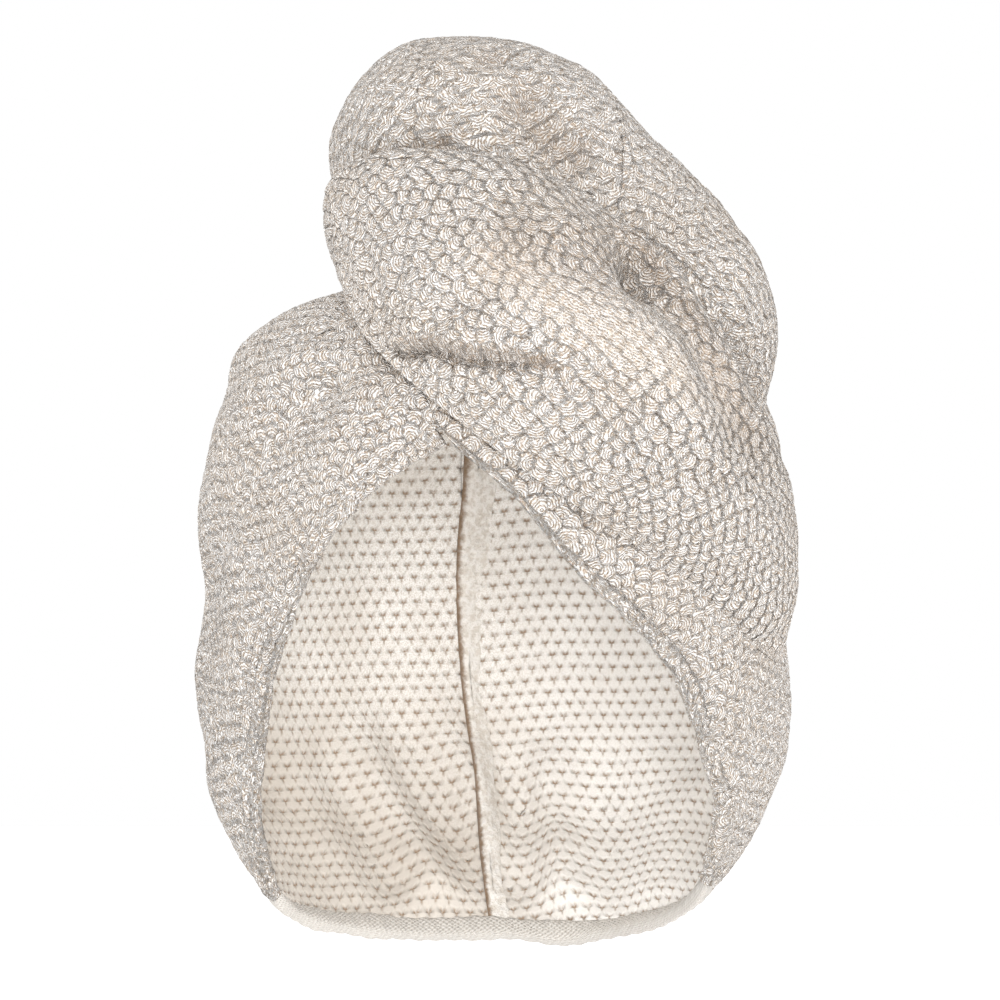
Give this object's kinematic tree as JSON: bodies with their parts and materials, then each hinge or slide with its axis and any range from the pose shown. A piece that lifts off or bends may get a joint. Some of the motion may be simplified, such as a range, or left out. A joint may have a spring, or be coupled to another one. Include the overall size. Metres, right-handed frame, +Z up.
{
  "type": "hair turban towel",
  "caption": "Hair turban towel as worn: open-faced hood of thick waffle cloth, swept over the forehead and rolled over the crown to the nape.",
  "frame": {"origin": "where the towel sits on the head: the inside top of the hood, on the head's vertical axis", "axes": "+Z up as worn, the face opening towards -Y, +X to the right of someone who looks at the face opening"},
  "size_m": [0.2085, 0.2647, 0.316],
  "materials": {
    "waffle_cloth": "thick heathered beige and white waffle weave, cream inside",
    "hem_cloth": "cream cotton, folded and close stitched",
    "lining_cloth": "cream cotton seam allowance",
    "button": "dark brown, with a brown cord loop"
  },
  "bodies": {
    "root": {"panel_left": "waffle_cloth", "panel_right": "waffle_cloth", "front_sweep": "waffle_cloth", "crown_roll": "waffle_cloth", "hem": "hem_cloth", "back_seam": "lining_cloth", "nape_button": "button"}
  },
  "joints": []
}
